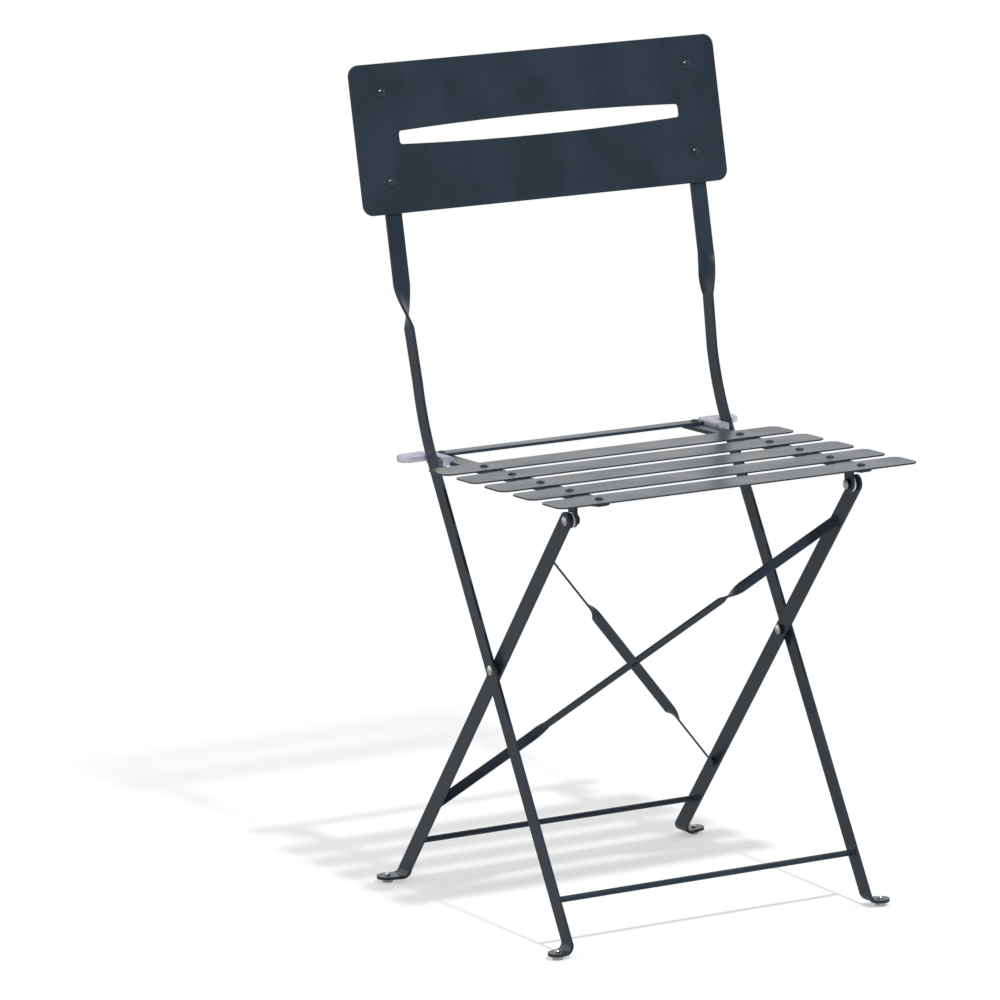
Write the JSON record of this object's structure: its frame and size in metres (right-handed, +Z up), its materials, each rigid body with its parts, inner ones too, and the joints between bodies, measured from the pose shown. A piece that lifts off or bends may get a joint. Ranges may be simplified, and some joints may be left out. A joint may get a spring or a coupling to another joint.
{
  "type": "folding garden chair",
  "caption": "Folding garden chair of flat steel strap with a slatted seat, a sheet back with a hand slot, and crossed braces between the rear legs",
  "frame": {"origin": "on the floor under the middle of the chair, the bottom centre of its box", "axes": "+Z up, +X to the sitter's left, -Y the way the sitter faces"},
  "size_m": [0.4044, 0.4364, 0.82],
  "materials": {
    "frame_paint": "anthracite powder coat, fine and satin",
    "zinc_rivet": "bright zinc plate",
    "black_rivet": "black mushroom heads",
    "white_nylon": "white moulded nylon",
    "black_nylon": "black nylon washers",
    "pale_nylon": "cloudy, nearly clear moulded nylon with a lavender tint"
  },
  "bodies": {
    "front_frame": {"upright_left": "frame_paint", "upright_right": "frame_paint", "backrest_panel": "frame_paint", "backrest_rivets": "frame_paint", "front_stretcher": "frame_paint", "front_foot_glide_left": "white_nylon", "front_foot_glide_right": "white_nylon", "front_foot_rivets": "zinc_rivet", "stop_stud_left": "frame_paint", "stop_stud_right": "frame_paint", "leg_pivot_rivet_left": "zinc_rivet", "leg_pivot_rivet_right": "zinc_rivet", "leg_pivot_washer_left": "black_nylon", "leg_pivot_washer_right": "black_nylon", "leg_pivot_collar_left": "black_nylon", "leg_pivot_collar_right": "black_nylon"},
    "rear_frame": {"rear_leg_left": "frame_paint", "rear_leg_right": "frame_paint", "rear_stretcher": "frame_paint", "cross_brace_rising": "frame_paint", "cross_brace_falling": "frame_paint", "brace_rivet": "black_rivet", "rear_foot_glide_left": "white_nylon", "rear_foot_glide_right": "white_nylon", "rear_foot_rivets": "zinc_rivet", "seat_pivot_rivet_left": "zinc_rivet", "seat_pivot_rivet_right": "zinc_rivet", "seat_pivot_washer_left": "white_nylon", "seat_pivot_washer_right": "white_nylon", "seat_pivot_spacer_left": "black_nylon", "seat_pivot_spacer_right": "black_nylon", "seat_pivot_collar_left": "black_nylon", "seat_pivot_collar_right": "black_nylon"},
    "seat": {"side_rail_left": "frame_paint", "side_rail_right": "frame_paint", "pivot_lug_left": "frame_paint", "pivot_lug_right": "frame_paint", "slat_1": "frame_paint", "slat_2": "frame_paint", "slat_3": "frame_paint", "slat_4": "frame_paint", "slat_5": "frame_paint", "slat_rivets": "black_rivet", "crossbar_rivets": "black_rivet", "rear_crossbar": "frame_paint", "seat_glide_left": "pale_nylon", "seat_glide_right": "pale_nylon"}
  },
  "joints": [
    {"name": "leg_fold", "type": "hinge", "parent": "front_frame", "child": "rear_frame", "pos_m": [0, -0.01153, 0.252], "axis": [-1, 0, 0], "range_deg": [0, 57]},
    {"name": "seat_pivot", "type": "hinge", "parent": "rear_frame", "child": "seat", "pos_m": [0, -0.16082, 0.4198], "axis": [1, 0, 0], "range_deg": [0, 115.2]}
  ],
  "couplings": [
    {"joint": "seat_pivot", "follows": "leg_fold", "ratio": 2.02}
  ]
}
